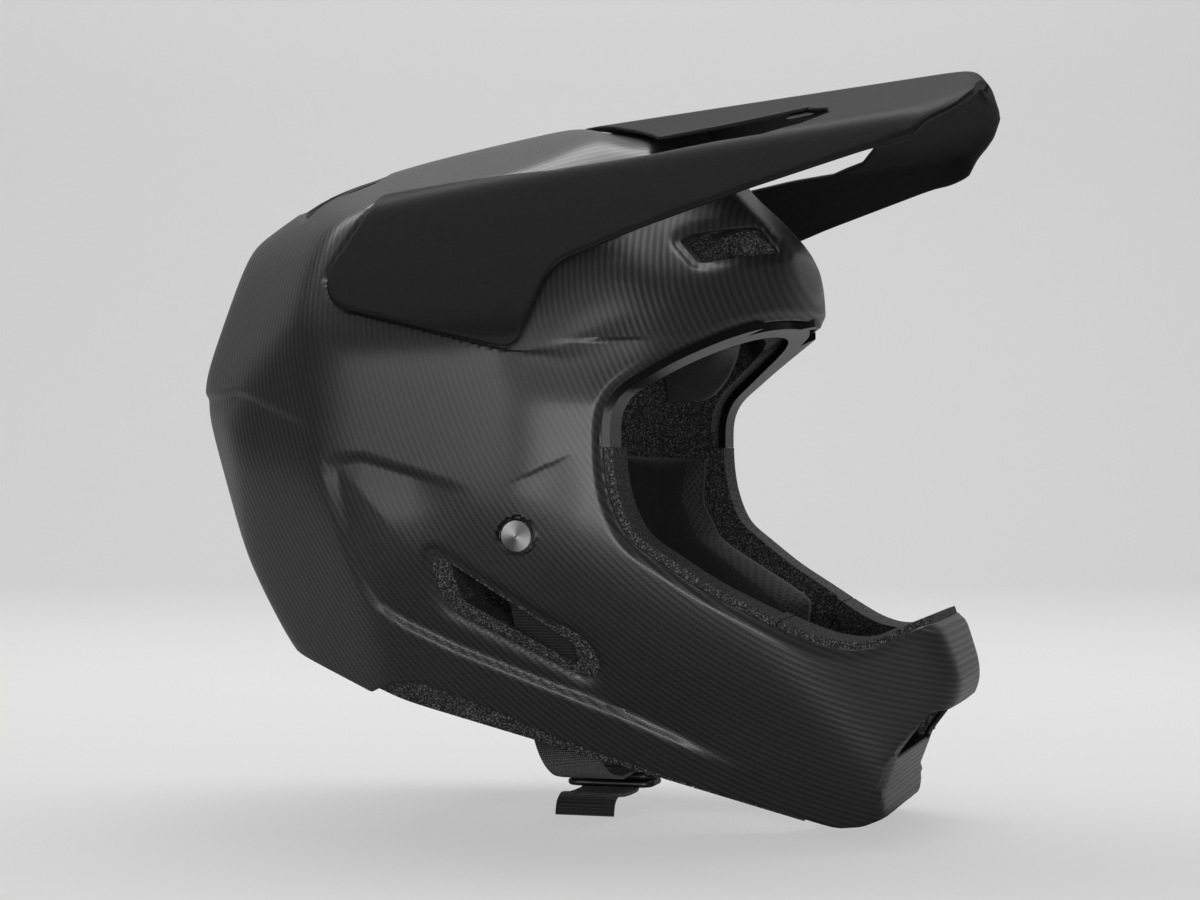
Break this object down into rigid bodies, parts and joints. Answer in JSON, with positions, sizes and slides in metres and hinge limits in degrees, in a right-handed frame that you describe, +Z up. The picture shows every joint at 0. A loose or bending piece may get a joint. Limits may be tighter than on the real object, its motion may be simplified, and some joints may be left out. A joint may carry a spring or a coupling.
{
  "type": "full-face mountain bike helmet",
  "caption": "Full-face mountain bike helmet with a faceted carbon shell, tilting visor, vented chin bar, foam liner, sewn pads and a chin strap closed through D-rings.",
  "frame": {"origin": "middle of the space for the head, level with the ears' upper edge, on the plane of symmetry", "axes": "+X forward through the eye port, +Y to the wearer's left, +Z up as the helmet is worn"},
  "size_m": [0.3305, 0.239, 0.3073],
  "materials": {
    "outer_shell": "clear-coated twill carbon",
    "head_foam": "bead foam",
    "cheek_foam_left": "bead foam",
    "cheek_foam_right": "bead foam",
    "chin_foam": "bead foam",
    "brow_frame": "gloss",
    "crown_pad": "brushed knit",
    "brow_pad": "brushed knit",
    "neck_roll": "brushed knit",
    "cheek_pad_left": "brushed knit",
    "cheek_pad_right": "brushed knit",
    "cheek_studs_left": "moulded",
    "cheek_studs_right": "moulded",
    "side_disc_left": "matte grey",
    "side_disc_right": "matte grey",
    "strap_anchor_left": "brushed",
    "strap_anchor_right": "brushed",
    "strap_left": "woven webbing",
    "strap_right": "woven webbing",
    "d_rings": "brushed",
    "visor_hood": "matte",
    "visor_tongue": "satin",
    "tongue_screws": "blackened",
    "visor_peg_left": "turned",
    "visor_peg_right": "turned",
    "guide_pin_left": "turned",
    "guide_pin_right": "turned",
    "visor_bush_left": "moulded",
    "visor_bush_right": "moulded",
    "chin_vent_frame": "moulded",
    "chin_vent_mesh": "moulded",
    "rear_grille_left": "moulded",
    "rear_grille_right": "moulded"
  },
  "bodies": {
    "helmet": {"outer_shell": "outer_shell", "head_foam": "head_foam", "cheek_foam_left": "cheek_foam_left", "cheek_foam_right": "cheek_foam_right", "chin_foam": "chin_foam", "brow_frame": "brow_frame", "crown_pad": "crown_pad", "brow_pad": "brow_pad", "neck_roll": "neck_roll", "cheek_pad_left": "cheek_pad_left", "cheek_pad_right": "cheek_pad_right", "cheek_studs_left": "cheek_studs_left", "cheek_studs_right": "cheek_studs_right", "side_disc_left": "side_disc_left", "side_disc_right": "side_disc_right", "strap_anchor_left": "strap_anchor_left", "strap_anchor_right": "strap_anchor_right", "strap_left": "strap_left", "strap_right": "strap_right", "d_rings": "d_rings", "visor_bush_left": "visor_bush_left", "visor_bush_right": "visor_bush_right", "chin_vent_frame": "chin_vent_frame", "chin_vent_mesh": "chin_vent_mesh", "rear_grille_left": "rear_grille_left", "rear_grille_right": "rear_grille_right"},
    "visor": {"visor_hood": "visor_hood", "visor_tongue": "visor_tongue", "tongue_screws": "tongue_screws", "visor_peg_left": "visor_peg_left", "visor_peg_right": "visor_peg_right", "guide_pin_left": "guide_pin_left", "guide_pin_right": "guide_pin_right"}
  },
  "joints": [
    {"name": "visor_tilt", "type": "hinge", "parent": "helmet", "child": "visor", "pos_m": [-0.04, 0, 0.065], "axis": [0, -1, 0], "range_deg": [0, 10]}
  ]
}
